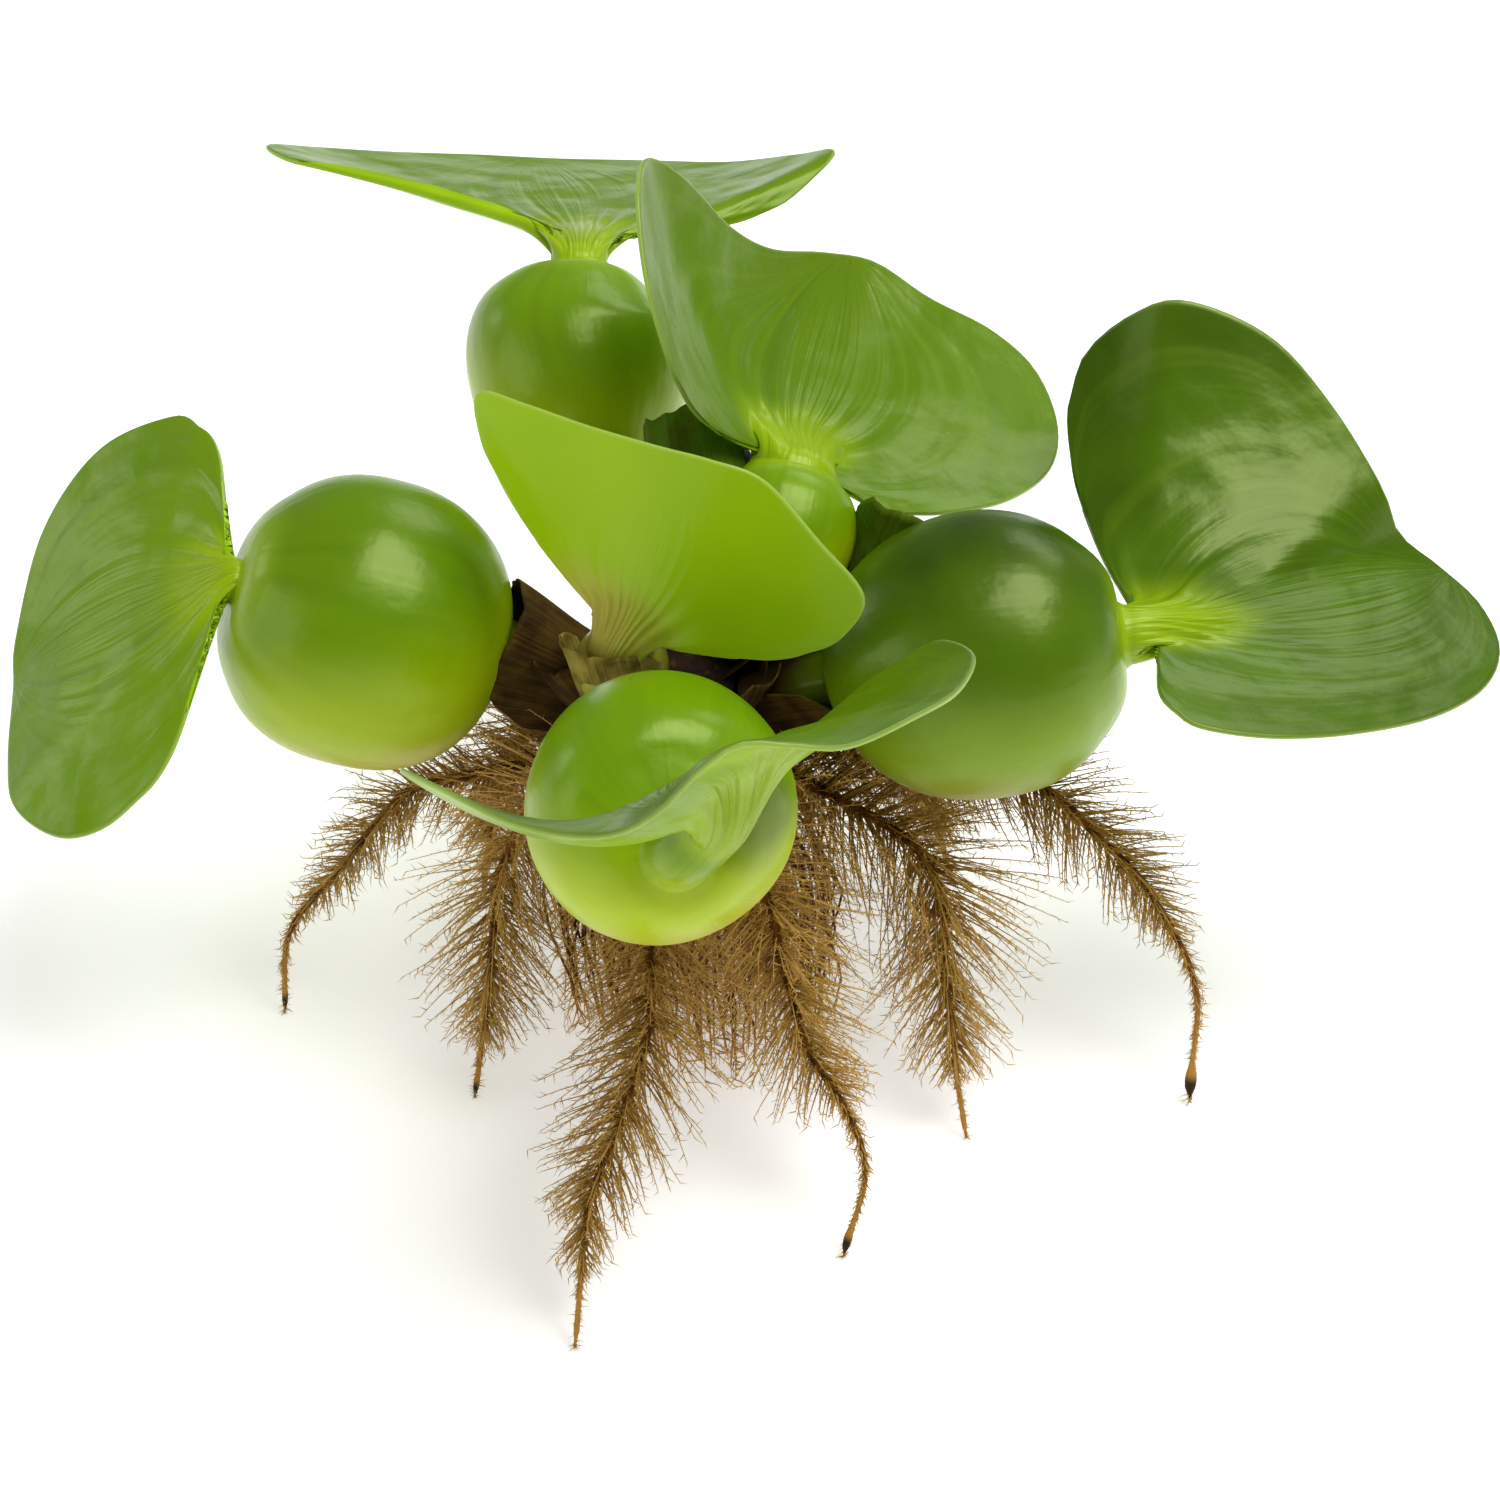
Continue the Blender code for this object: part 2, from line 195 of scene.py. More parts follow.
def curve_through(rows, count):
    """Return count points, evenly spaced, on a smooth curve through the rows."""
    rows = np.array(rows, float)
    padded = np.vstack((2 * rows[0] - rows[1], rows, 2 * rows[-1] - rows[-2]))
    fine = []
    for k in range(len(rows) - 1):
        a, b, c, d = padded[k:k + 4]
        square = 2 * a - 5 * b + 4 * c - d
        cube = 3 * b - a - 3 * c + d
        for t in np.linspace(0, 1, 24, endpoint=False):
            fine.append(0.5 * (2 * b + (c - a) * t + square * t**2 + cube * t**3))
    fine = np.vstack((fine, rows[-1]))
    steps = np.linalg.norm(np.diff(fine[:, :3], axis=0), axis=1)
    travelled = np.concatenate(([0], np.cumsum(steps)))
    wanted = np.linspace(0, travelled[-1], count)
    return np.column_stack([np.interp(wanted, travelled, column) for column in fine.T])


def crown_finish():
    """Return the look of the crown: brown drawn near-black as painted shade of the hollow it sits in, rusty
    where the skin is worn.
    """
    material, shader, place = finish_named("crown bark")
    blotches = place.speckle(260, 3)
    threads = place.vector("MULTIPLY", (1.0, 1.0, 0.22)).speckle(900, 2)
    # painted shade: the crown's brown is made near-black, standing in for the shade of the hollow round it
    colour = blotches.between(0.35, 0.7).colour(paint(22, 14, 5), paint(44, 28, 11))
    colour = threads.between(0.55, 0.8).colour(colour, paint(76, 54, 24))
    place.feed(shader.inputs["Base Color"], colour)
    shader.inputs["Roughness"].default_value = 0.8
    shader.inputs["Specular IOR Level"].default_value = 0.15
    dents = place.node("ShaderNodeBump", None,
                       {"Strength": 0.7, "Distance": 0.4 * MM, "Height": threads + blotches})
    place.feed(shader.inputs["Normal"], dents)
    return material


def sheath_finish(name, foot, top, see_through=0.0):
    """Return the look of a sheath, streaked along its length and darker at its foot than at its top."""
    material, shader, place = finish_named(name)
    length, across = place.mark("length")
    up = across.beside("Z")
    streaks = length.vector("MULTIPLY", (1.0, 1.0, 0.08)).speckle(15, 4, 0.6)
    upper = (up + 0.5 * (place.speckle(160, 2) - 0.5)).between(0.1, 0.8)
    mottled = (0.5 * streaks + 0.5 * place.speckle(280, 3)).between(0.36, 0.64)
    low = mottled.colour(paint(*(0.5 * part for part in foot)), paint(*foot))
    high = mottled.colour(paint(*foot), paint(*top))
    place.feed(shader.inputs["Base Color"], upper.colour(low, high))
    if see_through:
        place.feed(shader.inputs["Alpha"], 1.0 - see_through * upper * streaks.between(0.4, 0.6))
    shader.inputs["Roughness"].default_value = 0.7
    shader.inputs["Specular IOR Level"].default_value = 0.08
    ribs = place.node("ShaderNodeBump", None, {"Strength": 0.35, "Distance": 0.5 * MM, "Height": streaks})
    place.feed(shader.inputs["Normal"], ribs)
    return material


def crown_piece(material):
    """Make the stem, ringed with scars and slightly uneven."""
    outline = curve_through(CROWN_OUTLINE, CROWN_ROWS)
    sides = CROWN_SIDES
    points = [(CROWN_CENTRE[0], CROWN_CENTRE[1], outline[0][1])]
    for radius, height in outline[1:-1]:
        for k in range(sides):
            turn = 2 * pi * k / sides
            spot = Vector((radius * cos(turn), radius * sin(turn), height))
            scar = CROWN_SCAR_DEPTH * (0.5 + 0.5 * sin(height * 2.6 + 2 * sin(turn)))
            worn = max(radius * (1 + 0.06 * wavering(spot, 3.5)) - scar, CROWN_LEAST_RADIUS)
            points.append((CROWN_CENTRE[0] + worn * cos(turn), CROWN_CENTRE[1] + worn * sin(turn), height))
    points.append((CROWN_CENTRE[0], CROWN_CENTRE[1], outline[-1][1]))
    faces = []
    rows = len(outline) - 2
    for k in range(sides):
        following = (k + 1) % sides
        faces.append((0, 1 + following, 1 + k))
        for row in range(rows - 1):
            a, b = 1 + row * sides + k, 1 + row * sides + following
            faces.append((a, b, b + sides, a + sides))
        last = 1 + (rows - 1) * sides
        faces.append((last + k, last + following, len(points) - 1))
    return piece_of("crown_stem", points, faces, material)


def sheet_of(grid, thickness):
    """Give a grid of points a thickness, and return the points and faces of the closed sheet."""
    grid = np.array(grid, float)
    rows, columns = grid.shape[:2]
    normals = np.cross(np.gradient(grid, axis=1), np.gradient(grid, axis=0))
    normals /= np.maximum(np.linalg.norm(normals, axis=2, keepdims=True), 1e-9)
    front = (grid + normals * thickness / 2).reshape(-1, 3)
    rear = (grid - normals * thickness / 2).reshape(-1, 3)
    count = rows * columns
    faces = []
    for r in range(rows - 1):
        for c in range(columns - 1):
            a = r * columns + c
            faces.append((a, a + 1, a + columns + 1, a + columns))
            faces.append((count + a, count + a + columns, count + a + columns + 1, count + a + 1))
    rim = list(range(columns))
    rim += [r * columns + columns - 1 for r in range(1, rows)]
    rim += [(rows - 1) * columns + c for c in range(columns - 2, -1, -1)]
    rim += [r * columns for r in range(rows - 2, 0, -1)]
    for a, b in zip(rim, rim[1:] + rim[:1]):
        faces.append((a, count + a, count + b, b))
    return np.vstack((front, rear)), faces


def sheath_piece(name, foot, top, turn, width, foot_away, top_away, material):
    """Make one sheath round the line from foot to top, with a worn upper edge."""
    foot, top = np.array(foot, float), np.array(top, float)
    axis = unit(top - foot)
    right = unit(np.array((1.0, 0, 0)) - axis[0] * axis)
    over = np.cross(axis, right)
    grid, lengths = [], []
    for up in np.linspace(0, 1, SHEATH_ROWS):
        row = []
        for across in np.linspace(-1, 1, SHEATH_COLUMNS):
            worn = 0.06 * wavering((across * 3, turn, foot[0]), 1.3)
            worn += 0.02 * wavering((across * 11, turn, 5), 1.1)
            reach = up * (1 - 0.35 * across**4 + worn)
            bend = radians(turn + across * width / 2 * (1 - 0.15 * up))
            crease = 0.25 * sin(9 * bend) + 0.8 * wavering((across * 3, up * 2, turn), 1.2)
            away = foot_away + (top_away - foot_away) * up**1.4 + crease * up
            row.append(foot + reach * (top - foot) + away * (cos(bend) * right + sin(bend) * over))
            lengths.append((cos(bend), sin(bend), up))
        grid.append(row)
    points, faces = sheet_of(grid, SHEATH_THICKNESS)
    item = piece_of(name, points, faces, material)
    layer = item.data.attributes.new("length", "FLOAT_VECTOR", "POINT")
    layer.data.foreach_set("vector", np.array(lengths + lengths, float).ravel())
    return item


bark = crown_finish()
# painted shade: the old sheaths' brown is drawn darker than its own, standing in for the shade of the hollow
# round the crown
papery = sheath_finish("papery sheath", (46, 30, 8), (88, 66, 22))
# painted light: the young sheath's tan is drawn lighter than its own, standing in for light where the leaf
# above shades it
skinny = sheath_finish("young sheath", (104, 84, 28), (178, 162, 74), see_through=0.1)
budding = sheath_finish("bud green", (84, 96, 16), (92, 132, 12))
crown = crown_piece(bark)
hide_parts("crown")
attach(crown, "root")
for name, sizes in CROWN_SHEATHS.items():
    look = skinny if name.startswith("young") else budding if name.startswith("bud") else papery
    sheath = sheath_piece("sheath_" + name, *sizes, look)
    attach(sheath, "root")

# The long roots are dark brown threads that hang from the crown and splay where the plant stands on them.
# Each carries hundreds of side roots, set all round it and leaning towards its tip, with finer hairs on
# them, and ends in a bare, golden tip with a dark cap.
ROOT_POINTS = 90
ROOT_SWAY = 0.9
ROOT_SWAY_WAVES = 7
ROOT_FULL_FROM = 0.12
ROOT_START_REACH = 4.0
ROOT_TIP_REACH = 0.3
ROOT_SIZES = {
    "Axis Radius At Crown": 0.85 * MM,
    "Axis Radius At Tip": 0.3 * MM,
    "Axis Sides": 8,
    "Side Root Spacing": 0.085 * MM,
    "Side Root Length": 1.5,
    "Side Root Radius": 0.15 * MM,
    "Lean At Crown": radians(66),
    "Lean At Tip": radians(36),
    "Lean Change": radians(9),
    "Crookedness": 0.7 * MM,
    "Hair Spacing": 1.2 * MM,
    "Hair Length": 1.3 * MM,
}
LONG_ROOTS = {
    # reach of the side roots, share of the root from which it is bare, how much its cap swells, how dark
    # that is, and the path
    "far_left": (5.5, 0.76, 0.3, 0.6, ((-11.8, 1.5, 43), (-26, 1.5, 38), (-40, 1, 34.5), (-49.6, 0, 22),
                                       (-56.7, -1.5, 13), (-58, -3.6, 0.5))),
    "front_left": (10.0, 0.84, 0.3, 0.7, ((-11, -3.5, 43), (-19, -7.5, 41), (-26.5, -13, 34),
                                         (-28.6, -18, 17), (-31, -22, 0.5))),
    "front": (9.5, 0.88, 0.2, 0.3, ((-6.5, -7.8, 43), (-7, -21, 36), (-7, -39, 26), (-14, -59, 14),
                                     (-16, -71.5, 0.5))),
    "front_right": (10.5, 0.68, 0.9, 1.0, ((1, -7.8, 43), (7.5, -21, 36), (13, -37, 22), (20.7, -49, 13.5),
                                          (18, -54.4, 0.6))),
    "right": (12.0, 0.86, 0.2, 0.4, ((5.6, -3.6, 43), (18, -10, 41), (30, -15, 33), (32.5, -24, 14),
                                     (34.7, -30.4, 0.5))),
    "far_right": (8.0, 0.74, 1.6, 1.0, ((6, 3, 43), (20, 4, 41), (35, 1, 39.5), (48, -7, 38), (64, -18.5, 21),
                                        (65, -23, 0.7))),
    "back_left": (8.5, 0.84, 0.3, 0.7, ((-10.2, 7, 43), (-22, 13, 39), (-29, 19, 22), (-32, 24, 0.5))),
    "back": (8.5, 0.84, 0.3, 0.4, ((-6, 9.6, 43), (-10, 21, 37), (-14, 29, 20), (-16, 34, 0.5))),
    "back_right": (8.5, 0.84, 0.6, 0.9, ((1, 9.4, 43), (6, 22, 37), (10, 32, 20), (12, 38, 0.5))),
    "right_back": (8.5, 0.84, 0.3, 0.5, ((4.8, 6.6, 43), (17, 15, 38), (29, 22, 22), (35, 27, 0.5))),
}


def root_finish(name, dull, bright, fuzzy):
    """Return the look of roots: dark brown threads, dull to bright side roots, golden tips and dark caps."""
    material, shader, place = finish_named(name)
    _, along = place.mark("growth")
    out = along.beside("Y")
    hairs = along.beside("Z")
    cap = hairs.maths("LESS_THAN", hairs, -0.5)
    mottling = place.speckle(420, 3)
    thread = mottling.between(0.35, 0.65).colour(paint(78, 44, 12), paint(132, 82, 28))
    thread = along.between(0.78, 0.93).colour(thread, paint(196, 142, 62))
    thread = (along.between(0.95, 0.97) * cap).colour(thread, paint(52, 36, 18))
    side = mottling.between(0.3, 0.7).colour(paint(*dull), paint(*bright))
    side = out.between(0.1, 0.9).colour(side, paint(*fuzzy))
    fuzz = mottling.between(0.3, 0.7).colour(paint(*bright), paint(*fuzzy))
    colour = out.between(0.0, 0.06).colour(thread, side)
    place.feed(shader.inputs["Base Color"], hairs.between(0.0, 1.0).colour(colour, fuzz))
    shader.inputs["Roughness"].default_value = 0.6
    shader.inputs["Specular IOR Level"].default_value = 0.12
    return material


def growth_tree(name, sizes):
    """Start a Geometry Nodes tree with named inputs, and return it with a thread for each of them."""
    tree = bpy.data.node_groups.new(name, "GeometryNodeTree")
    tree.interface.new_socket("Geometry", in_out="INPUT", socket_type="NodeSocketGeometry")
    tree.interface.new_socket("Geometry", in_out="OUTPUT", socket_type="NodeSocketGeometry")
    for label, value in sizes.items():
        kind = "NodeSocketInt" if isinstance(value, int) else "NodeSocketFloat"
        tree.interface.new_socket(label, in_out="INPUT", socket_type=kind)
    entry = tree.nodes.new("NodeGroupInput")
    return tree, {socket.name: Thread(tree, socket) for socket in entry.outputs if socket.name}


def root_growth(material):
    """Build the tree that grows side roots and hairs on a root's path, whose point radius is their reach."""
    tree, given = growth_tree("root growth", {**ROOT_SIZES, "Cap Swelling": 0.5, "Dark Cap": 1.0, "Seed": 1})
    path = given["Geometry"]
    seed = given["Seed"]
    along = path.node("GeometryNodeSplineParameter", output="Factor")
    reach = path.node("GeometryNodeInputRadius")

    def marked(geometry, first, second, third):
        mark = path.node("ShaderNodeCombineXYZ", None, {"X": first, "Y": second, "Z": third})
        return path.node("GeometryNodeStoreNamedAttribute", {"data_type": "FLOAT_VECTOR", "domain": "POINT"},
                         {"Geometry": geometry, "Name": "growth", "Value": mark})

    def chance(low, high, offset):
        return path.node("FunctionNodeRandomValue", {"data_type": "FLOAT"},
                         {2: low, 3: high, "Seed": seed + offset}, output=1)

    def tube(curve, radius, sides):
        sized = path.node("GeometryNodeSetCurveRadius", None, {"Curve": curve, "Radius": radius})
        ring = path.node("GeometryNodeCurvePrimitiveCircle", None, {"Resolution": sides, "Radius": 1.0})
        own = path.node("GeometryNodeInputRadius")
        return path.node("GeometryNodeCurveToMesh", None,
                         {"Curve": sized, "Profile Curve": ring, "Scale": own, "Fill Caps": True})

    def sprouting(places, shape, lean, size, offset):
        swing = path.node("ShaderNodeCombineXYZ", None, {"X": lean, "Z": chance(0.0, 2 * pi, offset)})
        swing = path.node("FunctionNodeEulerToRotation", None, {"Euler": swing})
        facing = path.node("FunctionNodeRotateRotation", {"rotation_space": "LOCAL"},
                           {"Rotation": places.beside("Rotation"), "Rotate By": swing})
        return path.node("GeometryNodeInstanceOnPoints", None,
                         {"Points": places, "Instance": shape, "Rotation": facing, "Scale": size})

    start, end = given["Axis Radius At Crown"], given["Axis Radius At Tip"]
    cap = along.between(0.93, 0.965) * given["Cap Swelling"]
    taper = 1.0 - along.between(0.972, 1.004)
    radius = (start + (end - start) * along) * (1.0 + cap) * taper
    axis = tube(marked(path, along, 0.0, 0.0 - given["Dark Cap"]), radius, given["Axis Sides"])

    stations = path.node("GeometryNodeCurveToPoints", {"mode": "LENGTH"},
                         {"Curve": marked(path, along, 0.0, 0.0), "Length": given["Side Root Spacing"]})
    share = path.node("GeometryNodeInputNamedAttribute", {"data_type": "FLOAT_VECTOR"}, {"Name": "growth"})
    share = path.node("ShaderNodeSeparateXYZ", None, {"Vector": share}, "X")
    lean = given["Lean At Crown"] + (given["Lean At Tip"] - given["Lean At Crown"]) * share
    lean = lean + given["Lean Change"] * chance(-1.0, 1.0, 1)
    bow = path.node("GeometryNodeCurveQuadraticBezier", None,
                    {"Resolution": 4, "Start": (0, 0, 0), "Middle": (0, -0.06, 0.5), "End": (0, 0, 1)})
    length = reach * given["Side Root Length"] * chance(0.55, 1.2, 3)
    side_roots = sprouting(stations, bow, lean, length, 2)
    side_roots = path.node("GeometryNodeRealizeInstances", None, {"Geometry": side_roots})
    side_roots = marked(side_roots, share, along, 0.0)
    place = path.node("GeometryNodeInputPosition")
    drift = place.speckle(110.0, 1.0, 0.5, "Color").vector("SUBTRACT", (0.5, 0.5, 0.5))
    drift = drift.vector("MULTIPLY", given["Crookedness"] * along)
    side_roots = path.node("GeometryNodeSetPosition", None, {"Geometry": side_roots, "Offset": drift})
    floor = (-1.0, -1.0, 0.2 * MM)
    side_roots = path.node("GeometryNodeSetPosition", None,
                           {"Geometry": side_roots, "Position": place.vector("MAXIMUM", floor)})
    side_tubes = tube(side_roots, given["Side Root Radius"] * (1.0 - 0.65 * along), 3)

    hair_places = path.node("GeometryNodeCurveToPoints", {"mode": "LENGTH"},
                            {"Curve": marked(side_roots, share, along, 1.0), "Length": given["Hair Spacing"]})
    spike = path.node("GeometryNodeMeshCone", {"fill_type": "NONE"}, {
        "Vertices": 3, "Side Segments": 1, "Radius Top": 0.0, "Radius Bottom": 0.06, "Depth": 1.0})
    length = given["Hair Length"] * chance(0.5, 1.3, 7)
    hairs = sprouting(hair_places, spike, chance(radians(35), radians(75), 5), length, 6)
    grown = path.node("GeometryNodeJoinGeometry", None, {"Geometry": [axis, side_tubes, hairs]})
    grown = path.node("GeometryNodeRealizeInstances", None, {"Geometry": grown})
    grown = path.node("GeometryNodeSetPosition", None,
                      {"Geometry": grown, "Position": place.vector("MAXIMUM", (-1.0, -1.0, 0.0))})
    grown = path.node("GeometryNodeSetMaterial", None, {"Geometry": grown, "Material": material})
    leave = tree.nodes.new("NodeGroupOutput")
    tree.links.new(grown.socket, leave.inputs["Geometry"])
    return tree


def grown_piece(name, strands, tree, sizes):
    """Grow a piece on strands, each a list of points in millimetres with the reach at each point."""
    curve = bpy.data.curves.new(name, "CURVE")
    curve.dimensions = "3D"
    for points, reaches in strands:
        spline = curve.splines.new("POLY")
        spline.points.add(len(points) - 1)
        for bead, point, reach in zip(spline.points, points, reaches):
            bead.co = (*(MM * part for part in point), 1.0)
            bead.radius = MM * reach
    seedling = bpy.data.objects.new(name + "_path", curve)
    bpy.context.scene.collection.objects.link(seedling)
    modifier = seedling.modifiers.new("Growth", "NODES")
    modifier.node_group = tree
    for socket in tree.interface.items_tree:
        if socket.in_out == "INPUT" and socket.name in sizes:
            modifier[socket.identifier] = sizes[socket.name]
    bpy.context.view_layer.update()
    evaluated = seedling.evaluated_get(bpy.context.evaluated_depsgraph_get())
    data = bpy.data.meshes.new_from_object(evaluated)
    bpy.data.objects.remove(seedling, do_unlink=True)
    data.name = name
    data.shade_smooth()
    item = bpy.data.objects.new(name, data)
    bpy.context.scene.collection.objects.link(item)
    return item


rooting = root_growth(root_finish("root brown", (138, 104, 38), (204, 160, 74), (220, 178, 98)))
for number, (name, (reach, bare_from, swelling, dark, path)) in enumerate(LONG_ROOTS.items()):
    points = curve_through(path, ROOT_POINTS)
    shares = np.linspace(0, 1, ROOT_POINTS)
    for k, share in enumerate(shares):
        sway = ROOT_SWAY * sin(pi * share)
        points[k][0] += sway * wavering((share * ROOT_SWAY_WAVES, number, 0), 1)
        points[k][1] += sway * wavering((share * ROOT_SWAY_WAVES, number, 9), 1)
    filled = np.minimum(shares / ROOT_FULL_FROM, 1.0) ** 0.6
    full = filled * (1 - np.minimum(shares / bare_from, 1.0) ** 3) ** 0.8
    reaches = ROOT_START_REACH + (ROOT_TIP_REACH - ROOT_START_REACH) * shares
    reaches = reaches + (reach - reaches) * full
    root = grown_piece("long_root_" + name, [(points, reaches)], rooting,
                       {**ROOT_SIZES, "Cap Swelling": swelling, "Dark Cap": dark, "Seed": 10 * number + 3})
    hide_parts("root_" + name)
    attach(root, "root")

# The mat is the crown's own tuft of fine roots: short brown threads that hang in a thick, tangled
# bunch between the long ones. Each has side roots of its own, and the plant's weight rests on their ends.
MAT_STRANDS = 230
MAT_POINTS = 14
MAT_OUTLINE = ((0.3, 42.0), (0.68, 36.0), (0.95, 28.0), (1.0, 19.0), (1.0, 10.0), (0.94, 0.4))
MAT_WIDTH = 20.0
MAT_BEND = 3.0
MAT_BEND_WAVES = 4
MAT_REACH = 4.2
MAT_SIZES = {
    **ROOT_SIZES,
    "Axis Radius At Crown": 0.32 * MM,
    "Axis Radius At Tip": 0.16 * MM,
    "Axis Sides": 3,
    "Side Root Spacing": 2.6 * MM,
    "Side Root Radius": 0.13 * MM,
    "Lean At Crown": radians(60),
    "Lean At Tip": radians(45),
    "Crookedness": 3.4 * MM,
    "Hair Spacing": 1.3 * MM,
    "Hair Length": 1.3 * MM,
    "Cap Swelling": 0.0,
    "Dark Cap": 0.0,
    "Seed": 400,
}

dice = np.random.default_rng(11)
outline = curve_through(MAT_OUTLINE, MAT_POINTS)
strands = []
for number in range(MAT_STRANDS):
    turn = 2 * pi * dice.random()
    width = MAT_WIDTH * dice.random() ** 0.5
    points, reaches = [], []
    for share, (away, height) in zip(np.linspace(0, 1, MAT_POINTS), outline):
        spot = []
        for outward, start, row in ((cos(turn), CROWN_CENTRE[0], 1), (sin(turn), CROWN_CENTRE[1], 7)):
            bend = MAT_BEND * sin(pi * share) * wavering((share * MAT_BEND_WAVES, number * 1.7, row), 1)
            spot.append(width * away * outward + bend + start * (1 - share))
        points.append((*spot, height))
        reaches.append(MAT_REACH * (0.6 + 0.4 * sin(pi * share)))
    strands.append((points, reaches))
matting = root_growth(root_finish("fine root tan", (168, 128, 56), (232, 186, 98), (246, 208, 126)))
mat = grown_piece("fine_root_tuft", strands, matting, MAT_SIZES)
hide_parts("fine_root_mat")
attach(mat, "root")

# The leaves. Each grows as one skin, shiny and waxy: a stalk that swells into a float full of air, a thin
# yellow-green neck, and a kidney-shaped blade with close veins that fan from the neck and bend to its tip.
# The two young leaves in the middle stand on plain stalks.
PATH_POINTS = 400
MARGIN_POINTS = 600
LEAF_COLUMNS = 112
STALK_RINGS = 56
SPREAD_RINGS = 14
BLADE_RINGS = 40
BLADE_EDGE_OUTS = (0.98, 0.988, 0.994, 0.998, 1.0)
NECK_SPREAD = 0.22
BLADE_MIDDLE = 1.7
BLADE_EDGE = 0.75
EDGE_ROUNDING = 0.45
LOBE_START = 0.35
LOBE_ROUND_FROM = 0.74
PLEATS = 26
PLEAT_DEPTH = 0.18
PLEAT_REACH = 0.16
VEIN_FAN = 3
VEIN_BEND = 1.6
FIBRE_UNIT = 30
NECK_UNIT = 60
FAR_FROM_RIM = 9.0
FLOAT_UNEVENNESS = 0.016
UNEVENNESS_SIZE = 13
NECK_SHOULDER = 0.2
NECK_DIMPLE = 0.6
CROWN_TOP = (-3, 1, 50)
YOUNG_LEAF_FOOT = (-14.5, -9, 67)
# how strongly blade undersides glow: painted light standing in for light through the thin blade
PAINTED_GLOW = 0.22


class Leaf:
    """The sizes of one leaf.

    path is the stalk's middle line from the crown to the neck. At the path's point number swell_at it
    swells to the radius swell, over lengths towards the crown and the neck. junction is where the neck
    meets the blade, along points to the blade's tip and across to its second side. Each margin row is
    (along, across, rise halfway out, rise at the edge). tones are how dark the stalk's and the blade's green
    are; the stalk's tone also sets how much painted shade darkens the float's top. roundness is 2 for a
    float that is round along its length and more for a squarer one. gloss is how much the skin mirrors, and
    relief how deep its veins and swellings are. The last one is a spot of painted shade: a place where the
    skin is drawn darker to stand in for shade, with the distances from it at which that starts to fade and
    ends, and its colour.
    """

    def __init__(self, path, radii, swell, swell_at, lengths, junction, along, across, tones, margin,
                 roundness=2.2, gloss=0.48, relief=1.0, painted_shade=None):
        self.path = path
        self.base_radius, self.neck_radius = radii
        self.swell = swell
        self.swell_at = swell_at
        self.lengths = lengths
        self.junction = np.array(junction, float)
        self.tones = tones
        self.roundness = roundness
        self.gloss = gloss
        self.relief = relief
        self.painted_shade = painted_shade
        self.margin = margin
        self.along = unit(along)
        self.across = unit(np.array(across, float) - np.dot(across, self.along) * self.along)
        self.normal = np.cross(self.along, self.across)


